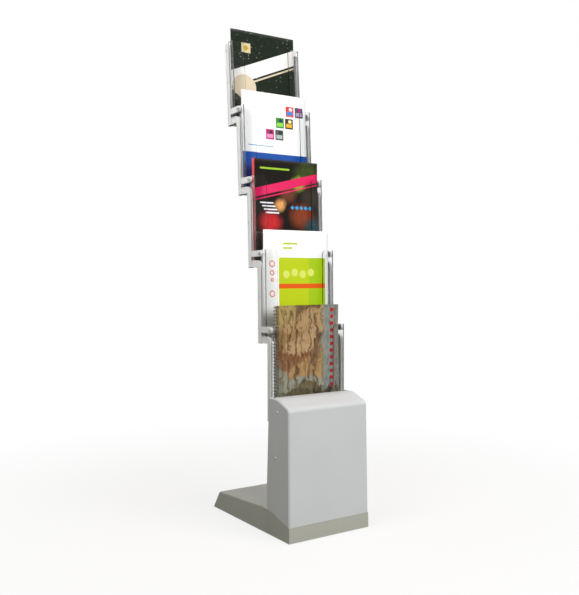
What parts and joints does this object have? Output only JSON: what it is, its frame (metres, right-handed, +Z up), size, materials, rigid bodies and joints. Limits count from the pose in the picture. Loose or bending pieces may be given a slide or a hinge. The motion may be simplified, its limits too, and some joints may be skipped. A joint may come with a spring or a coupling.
{
  "type": "periodical display rack",
  "caption": "Floor-standing periodical rack: a stepped column of clear pockets on slotted side rails that slide down behind a moulded base hood.",
  "frame": {"origin": "centre of the base's footprint, on the floor", "axes": "+Z up, +Y towards the rack's back, X across its width with the object's right at +X when it is seen from the front"},
  "size_m": [0.2544, 0.4, 1.3701],
  "materials": {
    "hood_plastic": "fine matt texture, light cool grey",
    "foot_plastic": "fine matt texture, light warm grey",
    "ballast_steel": "powder coated",
    "rubber": "matt",
    "zinc_steel": "bright zinc",
    "dark_clip": "moulded",
    "bracket_steel": "powder coated",
    "nylon": "natural nylon",
    "clear_acrylic": "clear, polished",
    "rail_aluminium": "satin, silver lacquer",
    "tube_aluminium": "drawn, satin",
    "dark_plug": "moulded",
    "cover_ochre": "satin coated, printed",
    "cover_lime": "satin coated, printed",
    "cover_night": "gloss coated, printed",
    "cover_blue": "gloss coated, printed",
    "cover_green": "satin coated, printed",
    "binding_wire": "bright drawn wire"
  },
  "bodies": {
    "base": {"foot_shell": "foot_plastic", "hood_shell": "hood_plastic", "ballast_plate": "ballast_steel", "rubber_feet": "rubber", "plate_screws": "zinc_steel", "bracket_screws": "zinc_steel", "seam_clips": "dark_clip", "column_bracket_left": "bracket_steel", "column_bracket_right": "bracket_steel", "base_shoes": "nylon"},
    "tier_1": {"pocket_1": "clear_acrylic", "rail_left_1": "rail_aluminium", "rail_right_1": "rail_aluminium", "rail_plugs_1": "dark_plug", "fasteners_1": "zinc_steel", "guide_arm_left_1": "rail_aluminium", "guide_arm_right_1": "rail_aluminium", "cross_tube_1": "tube_aluminium", "shoes_1": "nylon"},
    "tier_2": {"pocket_2": "clear_acrylic", "rail_left_2": "rail_aluminium", "rail_right_2": "rail_aluminium", "rail_plugs_2": "dark_plug", "fasteners_2": "zinc_steel", "guide_arm_left_2": "rail_aluminium", "guide_arm_right_2": "rail_aluminium", "cross_tube_2": "tube_aluminium", "shoes_2": "nylon"},
    "tier_3": {"pocket_3": "clear_acrylic", "rail_left_3": "rail_aluminium", "rail_right_3": "rail_aluminium", "rail_plugs_3": "dark_plug", "fasteners_3": "zinc_steel", "guide_arm_left_3": "rail_aluminium", "guide_arm_right_3": "rail_aluminium", "cross_tube_3": "tube_aluminium", "shoes_3": "nylon"},
    "tier_4": {"pocket_4": "clear_acrylic", "rail_left_4": "rail_aluminium", "rail_right_4": "rail_aluminium", "rail_plugs_4": "dark_plug", "fasteners_4": "zinc_steel", "guide_arm_left_4": "rail_aluminium", "guide_arm_right_4": "rail_aluminium", "cross_tube_4": "tube_aluminium", "shoes_4": "nylon"},
    "tier_5": {"pocket_5": "clear_acrylic", "rail_left_5": "rail_aluminium", "rail_right_5": "rail_aluminium", "rail_plugs_5": "dark_plug", "fasteners_5": "zinc_steel"},
    "periodical_1": {"periodical_1": "cover_ochre", "wire_rings": "binding_wire"},
    "periodical_2": {"periodical_2": "cover_lime"},
    "periodical_3": {"periodical_3": "cover_night"},
    "periodical_4": {"periodical_4": "cover_blue"},
    "periodical_5": {"periodical_5": "cover_green"}
  },
  "joints": [
    {"name": "tier_1_slide", "type": "slide", "parent": "base", "child": "tier_1", "axis": [0, 0, 1], "range_m": [-0.18, 0]},
    {"name": "tier_2_slide", "type": "slide", "parent": "tier_1", "child": "tier_2", "axis": [0, 0.0175, 0.9998], "range_m": [-0.18, 0]},
    {"name": "tier_3_slide", "type": "slide", "parent": "tier_2", "child": "tier_3", "axis": [0, 0.0349, 0.9994], "range_m": [-0.18, 0]},
    {"name": "tier_4_slide", "type": "slide", "parent": "tier_3", "child": "tier_4", "axis": [0, 0.0523, 0.9986], "range_m": [-0.18, 0]},
    {"name": "tier_5_slide", "type": "slide", "parent": "tier_4", "child": "tier_5", "axis": [0, 0.0698, 0.9976], "range_m": [-0.18, 0]},
    {"name": "periodical_1_lift", "type": "slide", "parent": "tier_1", "child": "periodical_1", "axis": [0, 0, 1], "range_m": [0, 0.26]},
    {"name": "periodical_2_lift", "type": "slide", "parent": "tier_2", "child": "periodical_2", "axis": [0, 0.0175, 0.9998], "range_m": [0, 0.26]},
    {"name": "periodical_3_lift", "type": "slide", "parent": "tier_3", "child": "periodical_3", "axis": [0, 0.0349, 0.9994], "range_m": [0, 0.26]},
    {"name": "periodical_4_lift", "type": "slide", "parent": "tier_4", "child": "periodical_4", "axis": [0, 0.0523, 0.9986], "range_m": [0, 0.26]},
    {"name": "periodical_5_lift", "type": "slide", "parent": "tier_5", "child": "periodical_5", "axis": [0, 0.0698, 0.9976], "range_m": [0, 0.26]}
  ]
}
